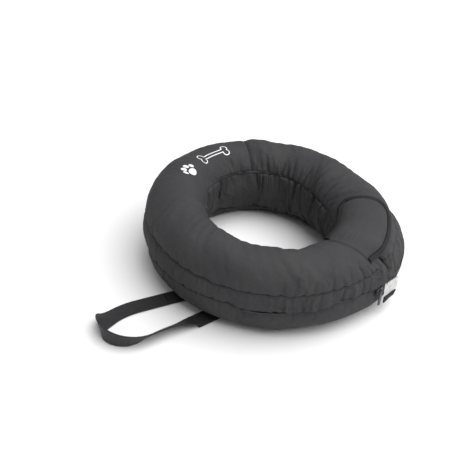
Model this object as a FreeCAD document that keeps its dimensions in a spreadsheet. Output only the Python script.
import FreeCAD, Part
import math
import os
import Sketcher

# Inflatable pet recovery collar, in millimetres. The ring lies flat on the floor: the origin is the
# ring's centre at floor level, +Z is up and the closure's split faces +X. The tube is a bladder in a
# sewn fabric cover of four panels: a wide top, a narrow gusset with a zip, a base and the gathered
# neck wall. The ring is made as a front half (-Y) and a back half (+Y), which part at the split and
# turn about the vertical fold line opposite it.
SIZES = {
    # Arcs of the tube's section: centre (radial, height) and radius. Each panel bulges outwards.
    "top_centre_r": 110.0,
    "top_centre_z": 57.0,
    "top_radius": 31.5,
    "gusset_centre_r": 126.5,
    "gusset_centre_z": 44.5,
    "gusset_radius": 23.5,
    "base_out_centre_r": 116.5,
    "base_out_radius": 33.0,
    "base_in_centre_r": 106.5,
    "base_in_radius": 36.0,
    "neck_up_centre_r": 105.0,
    "neck_up_centre_z": 49.0,
    "neck_up_radius": 32.0,
    "neck_low_centre_r": 133.0,
    "neck_low_centre_z": 35.0,
    "neck_low_radius": 60.0,
    # Heights at which the panels stop, just short of the seam cords.
    "top_out_end_z": 65.35,
    "top_in_end_z": 73.1,
    "gusset_low_end_z": 40.4,
    "gusset_high_end_z": 61.5,
    "base_out_end_z": 35.75,
    "base_in_end_z": 15.55,
    "neck_low_end_z": 19.8,
    "neck_high_end_z": 69.3,
    # Seam cords, at the corners where two panels meet.
    "seam_cord_radius": 2.0,
    "outer_top_seam_r": 140.9,
    "outer_top_seam_z": 63.05,
    "gusset_base_seam_r": 149.1,
    "gusset_base_seam_z": 38.1,
    "neck_base_seam_r": 75.6,
    "neck_base_seam_z": 17.55,
    "neck_top_seam_r": 81.8,
    "neck_top_seam_z": 71.05,
    # Fabric, film and the half rings.
    "cover_thick": 1.5,
    "half_start": 0.2,
    "half_sweep": 179.6,
    "end_panel_inset": 1.7,
    "end_panel_thick": 1.2,
    "bladder_inset": 3.0,
    "film_thick": 0.8,
    "bladder_start": 1.5,
    "bladder_sweep": 177.0,
    "void_start": 2.2,
    "void_sweep": 175.6,
    # Closure flap: layers above the top panel, each given by its outer radius about the top's centre.
    "flap_base_deg": -10.0,
    "flap_far_deg": 30.0,
    "flap_inner_r": 84.0,
    "flap_outer_r": 136.5,
    "flap_corner_radius": 17.0,
    "flap_edge_z": 74.0,
    "flap_face_radius": 36.5,
    "flap_lining_radius": 35.6,
    "flap_layer_thick": 0.8,
    "binding_radius": 37.0,
    "binding_thick": 2.5,
    "binding_width": 2.8,
    "binding_gap": 0.1,
    "binding_far_deg": 31.5,
    "hook_radius": 34.7,
    "hook_thick": 1.1,
    "hook_start": 5.0,
    "hook_sweep": 20.0,
    "hook_edge_z": 82.0,
    "loop_radius": 32.9,
    "loop_thick": 1.3,
    "loop_start": 3.0,
    "loop_sweep": 25.0,
    "loop_edge_z": 76.0,
    # Zip along the gusset's lower seam, on the front half only.
    "zip_start": -65.0,
    "zip_sweep": 62.8,
    "zip_coil_radius": 1.4,
    "zip_tape_inset": 1.6,
    "zip_tape_thick": 0.6,
    "zip_upper_low_z": 40.2,
    "zip_upper_high_z": 50.0,
    "zip_lower_low_z": 27.0,
    "zip_lower_high_z": 36.0,
    "zip_stop_deg": 1.0,
    "zip_stop_gap_deg": 0.1,
    "seam_stop_gap_deg": 0.3,
    "zip_stop_in_r": 147.2,
    "zip_stop_out_r": 150.7,
    "zip_stop_low_z": 36.3,
    "zip_stop_high_z": 39.9,
    "slider_deg": -4.4,
    "slider_in_r": 151.0,
    "slider_plate": 1.4,
    "slider_length": 10.0,
    "slider_height": 8.0,
    "slider_lip": 0.6,
    "bail_r": 153.9,
    "bail_radius": 0.6,
    "bail_length": 6.4,
    "bail_post": 0.9,
    "pull_bore_radius": 0.66,
    "pull_eye_radius": 1.35,
    "pull_width": 4.2,
    "pull_thick": 1.2,
    "pull_length": 15.0,
    # Inflation valve: a cup welded through the bladder behind the zip, with a push-in plug.
    "valve_deg": -56.0,
    "valve_z": 38.0,
    "valve_radius": 8.5,
    "valve_hole_radius": 8.6,
    "valve_bore_radius": 7.0,
    "valve_floor_r": 119.0,
    "valve_floor_thick": 1.2,
    "valve_mouth_r": 135.0,
    "valve_seat_radius": 3.05,
    "plug_stem_radius": 3.0,
    "plug_stem_length": 3.4,
    "plug_head_radius": 5.4,
    "plug_head_thick": 2.2,
    "plug_grip_length": 6.5,
    "plug_grip_width": 5.0,
    "plug_grip_thick": 1.4,
    # Care label, sewn in beside the split on the back half.
    "label_start": 2.0,
    "label_sweep": 10.0,
    "label_radius": 33.8,
    "label_thick": 0.5,
    "label_low_z": 12.0,
    "label_high_z": 35.4,
    # Webbing loop: a flat strap that lies on the floor, sewn under the base at both ends.
    "strap_width": 20.0,
    "strap_thick": 1.6,
    "strap_tab_length": 16.0,
    "strap_tab_high": 4.0,
    "strap_tab_gap": 0.1,
}

# The webbing loop's route on the floor, from one sewn end to the other.
STRAP_ROUTE = [
    (-40.5, -135.0),
    (-51.5, -154.0),
    (-62.0, -174.0),
    (-69.5, -195.5),
    (-65.0, -213.5),
    (-48.0, -222.0),
    (-30.5, -216.5),
    (-18.5, -202.5),
    (-9.0, -183.5),
    (-1.2, -162.5),
    (7.0, -143.5),
]
STRAP_ARC_SHARE = 0.45

doc = FreeCAD.newDocument("inflatable_pet_collar")
sheet = doc.addObject("Spreadsheet::Sheet", "Sizes")
for row, (alias, number) in enumerate(SIZES.items(), start=1):
    sheet.set(f"A{row}", alias)
    sheet.set(f"B{row}", str(number))
    sheet.setAlias(f"B{row}", alias)
doc.recompute()

sub_parts = []


class Size:
    """A number from the sheet together with the expression that gives it."""

    def __init__(self, value, text):
        self.value = value
        self.text = text

    def _join(self, other, sign):
        other = other if isinstance(other, Size) else Size(other, str(other))
        value = self.value + other.value if sign == "+" else self.value - other.value
        return Size(value, f"({self.text} {sign} {other.text})")

    def __add__(self, other):
        return self._join(other, "+")

    def __sub__(self, other):
        return self._join(other, "-")

    def half(self):
        return Size(self.value / 2, f"({self.text} / 2)")


def size(alias):
    return Size(SIZES[alias], f"Sizes.{alias}")


def bind(feature, prop, amount):
    feature.setExpression(prop, amount.text)


def turned(degrees):
    """A placement that turns a piece about the ring's axis."""
    return FreeCAD.Placement(FreeCAD.Vector(), FreeCAD.Rotation(FreeCAD.Vector(0, 0, 1), degrees))


def keep(feature, name):
    """Names a finished sub-part and puts it on the list of those to write."""
    feature.Label = name
    sub_parts.append(feature)
    return feature


class Arc:
    """An arc of the section: centre and radius as sizes."""

    def __init__(self, centre_r, centre_z, radius):
        self.centre_r = centre_r
        self.centre_z = centre_z
        self.radius = radius

    def shrunk(self, inset):
        return Arc(self.centre_r, self.centre_z, self.radius - inset)

    def angle_at(self, point):
        return math.atan2(point[1] - self.centre_z.value, point[0] - self.centre_r.value)

    def point_at_height(self, height, outer_side):
        rise = height - self.centre_z.value
        reach = math.sqrt(self.radius.value**2 - rise**2)
        return (self.centre_r.value + (reach if outer_side else -reach), height)


def crossing(first, second, outer_side):
    """Where two arcs' circles meet: the crossing further from the ring's axis, or nearer to it."""
    dx = second.centre_r.value - first.centre_r.value
    dz = second.centre_z.value - first.centre_z.value
    gap = math.hypot(dx, dz)
    along = (first.radius.value**2 - second.radius.value**2 + gap**2) / (2 * gap)
    across = math.sqrt(first.radius.value**2 - along**2)
    points = []
    for side in (across, -across):
        r = first.centre_r.value + (along * dx + side * dz) / gap
        z = first.centre_z.value + (along * dz - side * dx) / gap
        points.append((r, z))
    return max(points) if outer_side else min(points)


class Profile:
    """A sketch on one of a body's origin planes, with helpers that bind its dimensions."""

    def __init__(self, body, name, plane="XZ_Plane"):
        self.sketch = body.newObject("Sketcher::SketchObject", name)
        support = next(f for f in body.Origin.OriginFeatures if f.Role == plane)
        self.sketch.AttachmentSupport = [(support, "")]
        self.sketch.MapMode = "FlatFace"

    def arc(self, centre, radius, start, end):
        circle = Part.Circle(FreeCAD.Vector(*centre, 0), FreeCAD.Vector(0, 0, 1), radius)
        return self.sketch.addGeometry(Part.ArcOfCircle(circle, start, end), False)

    def line(self, start, end):
        segment = Part.LineSegment(FreeCAD.Vector(*start, 0), FreeCAD.Vector(*end, 0))
        return self.sketch.addGeometry(segment, False)

    def circle(self, centre, radius):
        circle = Part.Circle(FreeCAD.Vector(*centre, 0), FreeCAD.Vector(0, 0, 1), radius)
        return self.sketch.addGeometry(circle, False)

    def fix(self, *terms):
        return self.sketch.addConstraint(Sketcher.Constraint(*terms))

    def measure(self, *terms):
        """Adds a dimension whose last term is a Size, and binds it to the sheet."""
        amount = terms[-1]
        index = self.fix(*terms[:-1], amount.value)
        self.sketch.setExpression(f"Constraints[{index}]", amount.text)

    def at(self, geometry, point, x, y):
        """Holds a point of the sketch at two sizes from the origin."""
        self.measure("DistanceX", -1, 1, geometry, point, x)
        self.measure("DistanceY", -1, 1, geometry, point, y)


START, END, CENTRE = 1, 2, 3
WEST, SOUTH = math.pi, -math.pi / 2
NO_INSET = Size(0.0, "0")

top_arc = Arc(size("top_centre_r"), size("top_centre_z"), size("top_radius"))
gusset_arc = Arc(size("gusset_centre_r"), size("gusset_centre_z"), size("gusset_radius"))
neck_up_arc = Arc(size("neck_up_centre_r"), size("neck_up_centre_z"), size("neck_up_radius"))
neck_low_arc = Arc(size("neck_low_centre_r"), size("neck_low_centre_z"), size("neck_low_radius"))
base_in_arc = Arc(size("base_in_centre_r"), size("base_in_radius"), size("base_in_radius"))
base_out_arc = Arc(size("base_out_centre_r"), size("base_out_radius"), size("base_out_radius"))


def trace(profile, arcs, start_angle, flat_angle, end_angle, inset):
    """Draws one arc, or two with a straight stretch between them that is tangent to both."""
    angles = [start_angle, end_angle] if len(arcs) == 1 else [start_angle, flat_angle, end_angle]
    drawn = []
    for arc, start, end in zip(arcs, angles, angles[1:]):
        centre = (arc.centre_r.value, arc.centre_z.value)
        radius = arc.radius - inset
        index = profile.arc(centre, radius.value, start, end)
        profile.measure("Radius", index, radius)
        drawn.append(index)
    if len(arcs) == 2:
        ends = []
        for arc in arcs:
            reach = arc.radius.value - inset.value
            r = arc.centre_r.value + reach * math.cos(flat_angle)
            z = arc.centre_z.value + reach * math.sin(flat_angle)
            ends.append((r, z))
        flat = profile.line(*ends)
        profile.fix("Tangent", drawn[0], END, flat, START)
        profile.fix("Tangent", flat, END, drawn[1], START)
    return drawn


def strip_profile(body, name, arcs, ends, thick, flat_angle=None):
    """The section of one panel: a strip of even thickness inside the given arcs.
    ends holds, for each end, its height and whether it is on the arc's outer side."""
    profile = Profile(body, name)
    (start_height, start_outer), (end_height, end_outer) = ends
    start_angle = arcs[0].angle_at(arcs[0].point_at_height(start_height.value, start_outer))
    end_angle = arcs[-1].angle_at(arcs[-1].point_at_height(end_height.value, end_outer))
    if end_angle < start_angle:
        end_angle += 2 * math.pi
    outside = trace(profile, arcs, start_angle, flat_angle, end_angle, NO_INSET)
    inside = trace(profile, arcs, start_angle, flat_angle, end_angle, thick)
    for outer, inner, arc in zip(outside, inside, arcs):
        profile.at(outer, CENTRE, arc.centre_r, arc.centre_z)
        profile.fix("Coincident", inner, CENTRE, outer, CENTRE)
    for which, point, arc, end in ((0, START, arcs[0], ends[0]), (-1, END, arcs[-1], ends[1])):
        angle = start_angle if which == 0 else end_angle
        centre = (arc.centre_r.value, arc.centre_z.value)
        tips = []
        for radius in (arc.radius.value, arc.radius.value - thick.value):
            tips.append((centre[0] + radius * math.cos(angle), centre[1] + radius * math.sin(angle)))
        cap = profile.line(*tips)
        profile.fix("Coincident", cap, START, outside[which], point)
        profile.fix("Coincident", cap, END, inside[which], point)
        profile.fix("PointOnObject", outside[which], CENTRE, cap)
        profile.measure("DistanceY", -1, 1, outside[which], point, end[0])
    return profile.sketch


def tube_profile(body, name, inset):
    """The whole section of the tube as one closed outline, inside the cover by the given inset."""
    profile = Profile(body, name)
    gusset = gusset_arc.shrunk(inset)
    top = top_arc.shrunk(inset)
    neck_up = neck_up_arc.shrunk(inset)
    neck_low = neck_low_arc.shrunk(inset)
    base_in = base_in_arc.shrunk(inset)
    base_out = base_out_arc.shrunk(inset)
    outer_top = crossing(top, gusset, True)
    outer_base = crossing(gusset, base_out, True)
    inner_base = crossing(base_in, neck_low, False)
    inner_top = crossing(neck_up, top, False)
    neck_end = neck_low.angle_at(inner_base) + 2 * math.pi
    panels = [
        ([gusset], gusset.angle_at(outer_base), None, gusset.angle_at(outer_top)),
        ([top], top.angle_at(outer_top), None, top.angle_at(inner_top)),
        ([neck_up, neck_low], neck_up.angle_at(inner_top), WEST, neck_end),
        ([base_in, base_out], base_in.angle_at(inner_base), SOUTH, base_out.angle_at(outer_base)),
    ]
    runs = []
    for arcs, start_angle, flat_angle, end_angle in panels:
        run = trace(profile, arcs, start_angle, flat_angle, end_angle, NO_INSET)
        for index, arc in zip(run, arcs):
            profile.at(index, CENTRE, arc.centre_r, arc.centre_z)
        runs.append(run)
    for run, following in zip(runs, runs[1:] + runs[:1]):
        profile.fix("Coincident", run[-1], END, following[0], START)
    return profile.sketch


def revolved(name, draw, sweep, start):
    """A body whose sketch is turned about the ring's axis through the sweep, from the start angle."""
    body = doc.addObject("PartDesign::Body", name)
    sketch = draw(body)
    turn = body.newObject("PartDesign::Revolution", f"{name}_turn")
    turn.Profile = sketch
    turn.ReferenceAxis = (sketch, ["V_Axis"])
    bind(turn, "Angle", sweep)
    body.Tip = turn
    body.Placement = turned(start)
    return body


def strip(name, arcs, ends, thick, sweep, start, flat_angle=None):
    def draw(body):
        return strip_profile(body, f"{name}_profile", arcs, ends, thick, flat_angle)

    return revolved(name, draw, sweep, start)


def cord(name, centre_r, centre_z, radius, sweep, start):
    def draw(body):
        profile = Profile(body, f"{name}_profile")
        index = profile.circle((centre_r.value, centre_z.value), radius.value)
        profile.at(index, CENTRE, centre_r, centre_z)
        profile.measure("Radius", index, radius)
        return profile.sketch

    return revolved(name, draw, sweep, start)


# Cover: the same four panels, end panel and seam cords on each half ring.
HALF_TURN = 180.0
half_sides = {"back": SIZES["half_start"], "front": HALF_TURN + SIZES["half_start"]}
cover = size("cover_thick")
neck_arcs = [neck_up_arc, neck_low_arc]
base_arcs = [base_in_arc, base_out_arc]
for half, start in half_sides.items():
    panels = {
        "top_panel": ([top_arc], ("top_out_end_z", True), ("top_in_end_z", False), None),
        "gusset": ([gusset_arc], ("gusset_low_end_z", True), ("gusset_high_end_z", True), None),
        "neck_panel": (neck_arcs, ("neck_high_end_z", False), ("neck_low_end_z", False), WEST),
        "base_panel": (base_arcs, ("base_in_end_z", False), ("base_out_end_z", True), SOUTH),
    }
    for panel, (arcs, first_end, last_end, flat_angle) in panels.items():
        name = f"{half}_{panel}"
        heights = [(size(alias), outer_side) for alias, outer_side in (first_end, last_end)]
        keep(strip(name, arcs, heights, cover, size("half_sweep"), start, flat_angle), name)
    for seam in ("outer_top", "neck_top", "neck_base"):
        name = f"{half}_{seam}_seam"
        place = (size(f"{seam}_seam_r"), size(f"{seam}_seam_z"))
        keep(cord(name, *place, size("seam_cord_radius"), size("half_sweep"), start), name)

gusset_seam = (size("gusset_base_seam_r"), size("gusset_base_seam_z"))
cord_radius = size("seam_cord_radius")
name = "back_gusset_seam"
keep(cord(name, *gusset_seam, cord_radius, size("half_sweep"), half_sides["back"]), name)
name = "front_gusset_seam"
unzipped = size("half_sweep") + size("zip_start") - size("zip_stop_deg") - size("seam_stop_gap_deg")
keep(cord(name, *gusset_seam, cord_radius, unzipped, half_sides["front"]), name)


# End panels: flat pieces that close the tube on each side of the split.
def end_panel(name, offset, reversed_pad):
    body = doc.addObject("PartDesign::Body", name)
    sketch = tube_profile(body, f"{name}_profile", size("end_panel_inset"))
    pad = body.newObject("PartDesign::Pad", f"{name}_pad")
    pad.Profile = sketch
    pad.Reversed = reversed_pad
    bind(pad, "Length", size("end_panel_thick"))
    body.Tip = pad
    body.Placement = FreeCAD.Placement(FreeCAD.Vector(0, offset, 0), FreeCAD.Rotation())
    return keep(body, name)


SPLIT_GAP = 0.5
end_panel("front_end_panel", -SPLIT_GAP - SIZES["end_panel_thick"], True)
end_panel("back_end_panel", SPLIT_GAP, True)


# Bladder: a closed film tube in each half, hollow inside.
def bladder(name, start):
    def outside(body):
        return tube_profile(body, f"{name}_outside", size("bladder_inset"))

    def inside(body):
        return tube_profile(body, f"{name}_inside", size("bladder_inset") + size("film_thick"))

    cut = doc.addObject("Part::Cut", f"{name}_film")
    cut.Base = revolved(f"{name}_outer", outside, size("bladder_sweep"), start + SIZES["bladder_start"])
    cut.Tool = revolved(f"{name}_void", inside, size("void_sweep"), start + SIZES["void_start"])
    return cut


def radial_cylinder(name, radius, from_r, to_r):
    """A cylinder that points away from the ring's axis at the valve's height."""
    body = doc.addObject("Part::Cylinder", name)
    bind(body, "Radius", radius)
    bind(body, "Height", to_r - from_r)
    upright = FreeCAD.Vector(0, 0, 1)
    outwards = FreeCAD.Vector(1, 0, 0)
    body.Placement = FreeCAD.Placement(
        FreeCAD.Vector(from_r.value, 0, SIZES["valve_z"]), FreeCAD.Rotation(upright, outwards)
    )
    return body


CUT_REACH = 6.0
keep(bladder("back_bladder", 0.0), "back_bladder")
valve_floor = size("valve_floor_r")
valve_mouth = size("valve_mouth_r")
inside_floor = valve_floor - CUT_REACH
past_mouth = valve_mouth + CUT_REACH
valve_hole = radial_cylinder("valve_hole", size("valve_hole_radius"), inside_floor, past_mouth)
valve_hole.Placement = turned(SIZES["valve_deg"]).multiply(valve_hole.Placement)
front_bladder = doc.addObject("Part::Cut", "front_bladder_cut")
front_bladder.Base = bladder("front_bladder", HALF_TURN)
front_bladder.Tool = valve_hole
keep(front_bladder, "front_bladder")

# Valve cup: a tube with a floor, and a round seat for the plug in the floor.
cup_outside = radial_cylinder("valve_cup_outside", size("valve_radius"), valve_floor, valve_mouth)
floor_top = valve_floor + size("valve_floor_thick")
cup_bore = radial_cylinder("valve_cup_bore", size("valve_bore_radius"), floor_top, past_mouth)
cup_seat = radial_cylinder("valve_cup_seat", size("valve_seat_radius"), inside_floor, valve_mouth)
cup_hollow = doc.addObject("Part::Fuse", "valve_cup_hollow")
cup_hollow.Base = cup_bore
cup_hollow.Tool = cup_seat
valve_cup = doc.addObject("Part::Cut", "valve_cup")
valve_cup.Base = cup_outside
valve_cup.Tool = cup_hollow
valve_cup.Placement = turned(SIZES["valve_deg"])
keep(valve_cup, "valve_body")

# Valve plug: a stem in the seat, a head on the cup's floor and a grip to pull.
HEAD_GAP = 0.05
STEM_ROOT = 1.0
head_from = floor_top + HEAD_GAP
head_to = head_from + size("plug_head_thick")
stem_to = head_from + STEM_ROOT
stem = radial_cylinder("plug_stem", size("plug_stem_radius"), stem_to - size("plug_stem_length"), stem_to)
head = radial_cylinder("plug_head", size("plug_head_radius"), head_from, head_to)
grip = doc.addObject("Part::Box", "plug_grip")
bind(grip, "Length", size("plug_grip_length"))
bind(grip, "Width", size("plug_grip_width"))
bind(grip, "Height", size("plug_grip_thick"))
grip_corner = FreeCAD.Vector(
    head_to.value, -SIZES["plug_grip_width"] / 2, SIZES["valve_z"] - SIZES["plug_grip_thick"] / 2
)
grip.Placement = FreeCAD.Placement(grip_corner, FreeCAD.Rotation())
plug = doc.addObject("Part::MultiFuse", "valve_plug_fuse")
plug.Shapes = [stem, head, grip]
plug.Placement = turned(SIZES["valve_deg"])
keep(plug, "valve_plug")


# Closure flap: curved layers trimmed to a tongue with two rounded corners.
def tongue(name, inner_r, outer_r, base_deg, far_deg):
    """A tall prism with the tongue's outline seen from above."""
    body = doc.addObject("PartDesign::Body", name)
    profile = Profile(body, f"{name}_outline", "XY_Plane")
    corner = size("flap_corner_radius")
    base = math.radians(base_deg.value)
    far = math.radians(far_deg.value)
    outer_centre_r = outer_r.value - corner.value
    inner_centre_r = inner_r.value + corner.value
    outer_centre = far - math.asin(corner.value / outer_centre_r)
    inner_centre = far - math.asin(corner.value / inner_centre_r)

    def polar(radius, angle):
        return (radius * math.cos(angle), radius * math.sin(angle))

    far_outer = polar(math.sqrt(outer_centre_r**2 - corner.value**2), far)
    far_inner = polar(math.sqrt(inner_centre_r**2 - corner.value**2), far)
    outer = profile.arc((0, 0), outer_r.value, base, outer_centre)
    outer_corner = profile.arc(
        polar(outer_centre_r, outer_centre), corner.value, outer_centre, far + math.pi / 2
    )
    far_side = profile.line(far_inner, far_outer)
    inner_corner = profile.arc(
        polar(inner_centre_r, inner_centre), corner.value, far + math.pi / 2, inner_centre + math.pi
    )
    inner = profile.arc((0, 0), inner_r.value, base, inner_centre)
    base_side = profile.line(polar(inner_r.value, base), polar(outer_r.value, base))
    profile.fix("Coincident", outer, CENTRE, -1, 1)
    profile.fix("Coincident", inner, CENTRE, -1, 1)
    profile.fix("Tangent", outer, END, outer_corner, START)
    profile.fix("Tangent", outer_corner, END, far_side, END)
    profile.fix("Tangent", far_side, START, inner_corner, START)
    profile.fix("Tangent", inner_corner, END, inner, END)
    profile.fix("Coincident", base_side, START, inner, START)
    profile.fix("Coincident", base_side, END, outer, START)
    profile.fix("PointOnObject", -1, 1, far_side)
    profile.fix("PointOnObject", -1, 1, base_side)
    profile.measure("Radius", outer, outer_r)
    profile.measure("Radius", inner, inner_r)
    profile.measure("Radius", outer_corner, corner)
    profile.measure("Radius", inner_corner, corner)
    for line, degrees in ((far_side, far_deg), (base_side, base_deg)):
        slope = Size(math.radians(degrees.value), f"({degrees.text} * 1 deg)")
        profile.measure("Angle", line, slope)
    pad = body.newObject("PartDesign::Pad", f"{name}_pad")
    pad.Profile = profile.sketch
    bind(pad, "Length", size("flap_inner_r") + size("flap_face_radius"))
    body.Tip = pad
    return body


def top_layer(name, radius, thick, edge_z, sweep, start):
    """A layer that follows the top panel at the given radius about its centre."""
    layer = Arc(top_arc.centre_r, top_arc.centre_z, radius)
    return strip(name, [layer], ((edge_z, True), (edge_z, False)), thick, sweep, start)


BASE_TUCK = 4.0
flap_sweep = size("flap_far_deg") - size("flap_base_deg") + BASE_TUCK
flap_outline = tongue(
    "flap_outline", size("flap_inner_r"), size("flap_outer_r"), size("flap_base_deg"), size("flap_far_deg")
)
for name, radius_alias in (("closure_flap", "flap_face_radius"), ("flap_lining", "flap_lining_radius")):
    layer = top_layer(
        f"{name}_layer",
        size(radius_alias),
        size("flap_layer_thick"),
        size("flap_edge_z"),
        flap_sweep,
        SIZES["flap_base_deg"],
    )
    piece = doc.addObject("Part::Common", f"{name}_cut")
    piece.Base = layer
    piece.Tool = flap_outline
    keep(piece, name)

binding_outside = tongue(
    "binding_outside",
    size("flap_inner_r") - size("binding_width"),
    size("flap_outer_r") + size("binding_width"),
    size("flap_base_deg"),
    size("binding_far_deg"),
)
binding_inside = tongue(
    "binding_inside",
    size("flap_inner_r") - size("binding_gap"),
    size("flap_outer_r") + size("binding_gap"),
    size("flap_base_deg") - BASE_TUCK,
    size("flap_far_deg") + size("binding_gap"),
)
binding_layer = top_layer(
    "binding_layer",
    size("binding_radius"),
    size("binding_thick"),
    size("flap_edge_z") - size("binding_thick"),
    flap_sweep,
    SIZES["flap_base_deg"],
)
binding_edge = doc.addObject("Part::Cut", "binding_edge")
binding_edge.Base = binding_outside
binding_edge.Tool = binding_inside
binding = doc.addObject("Part::Common", "flap_binding_cut")
binding.Base = binding_layer
binding.Tool = binding_edge
keep(binding, "flap_binding")

for name, tape in (("hook_tape", "hook"), ("loop_tape", "loop")):
    piece = top_layer(
        name,
        size(f"{tape}_radius"),
        size(f"{tape}_thick"),
        size(f"{tape}_edge_z"),
        size(f"{tape}_sweep"),
        SIZES[f"{tape}_start"],
    )
    keep(piece, name)

# Zip: two tapes inside the panels, the coil on the seam line and a stop at each end.
zip_inset = size("zip_tape_inset")
upper_tape_arc = gusset_arc.shrunk(zip_inset)
lower_tape_arc = base_out_arc.shrunk(zip_inset)
for name, arc, low, high in (
    ("zip_tape_upper", upper_tape_arc, "zip_upper_low_z", "zip_upper_high_z"),
    ("zip_tape_lower", lower_tape_arc, "zip_lower_low_z", "zip_lower_high_z"),
):
    ends = ((size(low), True), (size(high), True))
    keep(strip(name, [arc], ends, size("zip_tape_thick"), size("zip_sweep"), SIZES["zip_start"]), name)
keep(
    cord("zip_coil", *gusset_seam, size("zip_coil_radius"), size("zip_sweep"), SIZES["zip_start"]),
    "zip_coil",
)


def zip_stop(name, start):
    def draw(body):
        profile = Profile(body, f"{name}_profile")
        low = size("zip_stop_low_z")
        high = size("zip_stop_high_z")
        inner = size("zip_stop_in_r")
        outer = size("zip_stop_out_r")
        corners = [(inner, low), (outer, low), (outer, high), (inner, high)]
        sides = []
        for near, far in zip(corners, corners[1:] + corners[:1]):
            sides.append(profile.line((near[0].value, near[1].value), (far[0].value, far[1].value)))
        for side, following in zip(sides, sides[1:] + sides[:1]):
            profile.fix("Coincident", side, END, following, START)
        for side, direction in zip(sides, ("Horizontal", "Vertical", "Horizontal", "Vertical")):
            profile.fix(direction, side)
        profile.at(sides[0], START, inner, low)
        profile.at(sides[2], START, outer, high)
        return profile.sketch

    return revolved(name, draw, size("zip_stop_deg"), start)


stops = doc.addObject("Part::Compound", "zip_stops_group")
stops.Links = [
    zip_stop("zip_stop_far", SIZES["zip_start"] - SIZES["zip_stop_deg"] - SIZES["zip_stop_gap_deg"]),
    zip_stop("zip_stop_near", SIZES["zip_start"] + SIZES["zip_sweep"] + SIZES["zip_stop_gap_deg"]),
]
keep(stops, "zip_stops")


# Zip slider and its pull, built on the +X side and turned to their place on the seam.
def block(name, length, width, height, corner):
    body = doc.addObject("Part::Box", name)
    bind(body, "Length", length)
    bind(body, "Width", width)
    bind(body, "Height", height)
    body.Placement = FreeCAD.Placement(FreeCAD.Vector(*corner), FreeCAD.Rotation())
    return body


def tangent_cylinder(name, radius, length):
    """A cylinder along the seam's direction, on the bail's line."""
    body = doc.addObject("Part::Cylinder", name)
    bind(body, "Radius", radius)
    bind(body, "Height", length)
    lying = FreeCAD.Rotation(FreeCAD.Vector(0, 0, 1), FreeCAD.Vector(0, 1, 0))
    middle = FreeCAD.Vector(SIZES["bail_r"], -length.value / 2, SIZES["gusset_base_seam_z"])
    body.Placement = FreeCAD.Placement(middle, lying)
    return body


seam_z = SIZES["gusset_base_seam_z"]
plate_low = seam_z - SIZES["slider_height"] / 2
plate_high = seam_z + SIZES["slider_height"] / 2
plate = block(
    "slider_plate_block",
    size("slider_plate"),
    size("slider_length"),
    size("slider_height"),
    (SIZES["slider_in_r"], -SIZES["slider_length"] / 2, plate_low),
)
slider_shapes = [plate]
for side, lip_z in (("low", plate_low), ("high", plate_high - SIZES["slider_lip"])):
    slider_shapes.append(
        block(
            f"slider_lip_{side}",
            size("slider_lip") + size("slider_plate").half(),
            size("slider_length"),
            size("slider_lip"),
            (SIZES["slider_in_r"] - SIZES["slider_lip"], -SIZES["slider_length"] / 2, lip_z),
        )
    )
post_length = size("bail_r") + size("bail_radius") - size("slider_in_r") - size("slider_plate").half()
bail_half = SIZES["bail_length"] / 2
for side, y in (("left", -bail_half), ("right", bail_half - SIZES["bail_post"])):
    slider_shapes.append(
        block(
            f"slider_post_{side}",
            post_length,
            size("bail_post"),
            size("bail_radius") + size("bail_radius"),
            (SIZES["slider_in_r"] + SIZES["slider_plate"] / 2, y, seam_z - SIZES["bail_radius"]),
        )
    )
slider_shapes.append(tangent_cylinder("slider_bail", size("bail_radius"), size("bail_length")))
slider = doc.addObject("Part::MultiFuse", "zip_slider_fuse")
slider.Shapes = slider_shapes
slider.Placement = turned(SIZES["slider_deg"])
keep(slider, "zip_slider")

TAB_OVERLAP = 1.0
eye = tangent_cylinder("pull_eye", size("pull_eye_radius"), size("pull_width"))
tab_top = seam_z - SIZES["pull_bore_radius"] - TAB_OVERLAP / 2
tab = block(
    "pull_tab",
    size("pull_thick"),
    size("pull_width"),
    size("pull_length"),
    (SIZES["bail_r"] - SIZES["pull_thick"] / 2, -SIZES["pull_width"] / 2, tab_top - SIZES["pull_length"]),
)
tip = doc.addObject("Part::Cylinder", "pull_tip")
bind(tip, "Radius", size("pull_width").half())
bind(tip, "Height", size("pull_thick"))
tip.Placement = FreeCAD.Placement(
    FreeCAD.Vector(SIZES["bail_r"] - SIZES["pull_thick"] / 2, 0, tab_top - SIZES["pull_length"]),
    FreeCAD.Rotation(FreeCAD.Vector(0, 0, 1), FreeCAD.Vector(1, 0, 0)),
)
pull_solid = doc.addObject("Part::MultiFuse", "pull_solid")
pull_solid.Shapes = [eye, tab, tip]
pull_bore = tangent_cylinder("pull_bore", size("pull_bore_radius"), size("pull_width") + TAB_OVERLAP)
pull = doc.addObject("Part::Cut", "zip_pull_cut")
pull.Base = pull_solid
pull.Tool = pull_bore
pull.Placement = turned(SIZES["slider_deg"])
keep(pull, "zip_pull")

# Care label, curved with the base panel below the seam.
label_arc = Arc(base_out_arc.centre_r, base_out_arc.centre_z, size("label_radius"))
label_ends = ((size("label_low_z"), True), (size("label_high_z"), True))
label_start = SIZES["label_start"]
label = strip(
    "care_label", [label_arc], label_ends, size("label_thick"), size("label_sweep"), label_start
)
keep(label, "care_label")


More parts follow.
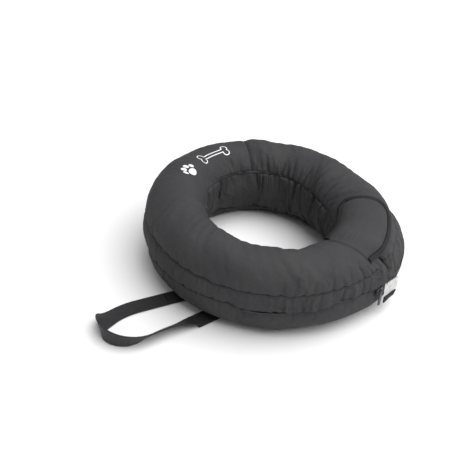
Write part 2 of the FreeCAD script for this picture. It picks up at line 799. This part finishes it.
# Webbing loop: straight runs joined by tangent arcs, swept with the strap's flat section.
def strap_path():
    """The route as edges on the floor, and its length. Each arc takes 0.45 of its shorter run."""
    points = [FreeCAD.Vector(x, y, 0) for x, y in STRAP_ROUTE]
    edges = []
    length = 0.0
    here = points[0]
    for before, corner, after in zip(points, points[1:], points[2:]):
        back = before - corner
        ahead = after - corner
        turn = math.pi - back.getAngle(ahead)
        reach = STRAP_ARC_SHARE * min(back.Length, ahead.Length)
        radius = reach / math.tan(turn / 2)
        back.normalize()
        ahead.normalize()
        entry = corner + back * reach
        leave = corner + ahead * reach
        bisector = back + ahead
        bisector.normalize()
        middle = corner + bisector * (radius / math.cos(turn / 2) - radius)
        edges.append(Part.LineSegment(here, entry).toShape())
        edges.append(Part.Arc(entry, middle, leave).toShape())
        length += (entry - here).Length + radius * turn
        print(f"strap corner {corner.x:.0f}, {corner.y:.0f}: radius {radius:.0f} mm")
        here = leave
    edges.append(Part.LineSegment(here, points[-1]).toShape())
    length += (points[-1] - here).Length
    return Part.Wire(edges), length


def heading(start, end):
    return math.degrees(math.atan2(end[1] - start[1], end[0] - start[0]))


path, strap_length = strap_path()
width = SIZES["strap_width"]
thick = SIZES["strap_thick"]
first_turn = FreeCAD.Rotation(FreeCAD.Vector(0, 0, 1), heading(STRAP_ROUTE[0], STRAP_ROUTE[1]))
strap_start = FreeCAD.Vector(*STRAP_ROUTE[0], 0)
section_corners = []
for across, up in ((-width / 2, 0), (width / 2, 0), (width / 2, thick), (-width / 2, thick)):
    section_corners.append(strap_start + first_turn.multVec(FreeCAD.Vector(0, across, up)))
section = Part.makePolygon(section_corners + section_corners[:1])
strap = doc.addObject("Part::Feature", "strap_loop")
strap.Shape = path.makePipeShell([section], True, False)
print(f"strap length {strap_length:.1f} mm")
print(f"strap volume {strap.Shape.Volume:.0f} mm3")
print(f"strap section times length {width * thick * strap_length:.0f} mm3")
keep(strap, "strap_loop")


# Sewn ends: the strap's folded ends, which fill the space under the curved base panel.
def strap_tab(name, end, towards):
    """A wedge that starts at the strap's end and runs in under the ring, away from the strap."""
    ring = doc.addObject("Part::Torus", f"{name}_ring")
    bind(ring, "Radius1", size("base_out_centre_r"))
    bind(ring, "Radius2", size("base_out_radius") + size("strap_tab_gap"))
    ring.Placement = FreeCAD.Placement(FreeCAD.Vector(0, 0, SIZES["base_out_radius"]), FreeCAD.Rotation())
    stitched = doc.addObject("Part::Box", f"{name}_block")
    bind(stitched, "Length", size("strap_tab_length"))
    bind(stitched, "Width", size("strap_width"))
    bind(stitched, "Height", size("strap_tab_high"))
    turn = FreeCAD.Rotation(FreeCAD.Vector(0, 0, 1), heading(towards, end))
    corner = FreeCAD.Vector(*end, 0) + turn.multVec(FreeCAD.Vector(0, -width / 2, 0))
    stitched.Placement = FreeCAD.Placement(corner, turn)
    wedge = doc.addObject("Part::Cut", f"{name}_wedge")
    wedge.Base = stitched
    wedge.Tool = ring
    return wedge


keep(strap_tab("strap_tab_left", STRAP_ROUTE[0], STRAP_ROUTE[1]), "strap_tab_left")
keep(strap_tab("strap_tab_right", STRAP_ROUTE[-1], STRAP_ROUTE[-2]), "strap_tab_right")

doc.recompute()

faults = []
for feature in doc.Objects:
    if "Invalid" in feature.State or "Error" in feature.State:
        faults.append(f"{feature.Name}: {feature.State}")
for feature in sub_parts:
    if feature.Shape.isNull() or not feature.Shape.isValid():
        faults.append(f"{feature.Label}: null or not valid")
if faults:
    raise RuntimeError("; ".join(faults))

os.makedirs("parts", exist_ok=True)
for feature in sub_parts:
    feature.Shape.exportStep(f"parts/{feature.Label}.step")
    box = feature.Shape.optimalBoundingBox(False)
    print(
        f"{feature.Label}: {len(feature.Shape.Solids)} solid, {feature.Shape.Volume / 1000:.2f} cm3, "
        f"x {box.XMin:.1f}..{box.XMax:.1f}, "
        f"y {box.YMin:.1f}..{box.YMax:.1f}, "
        f"z {box.ZMin:.1f}..{box.ZMax:.1f}"
    )
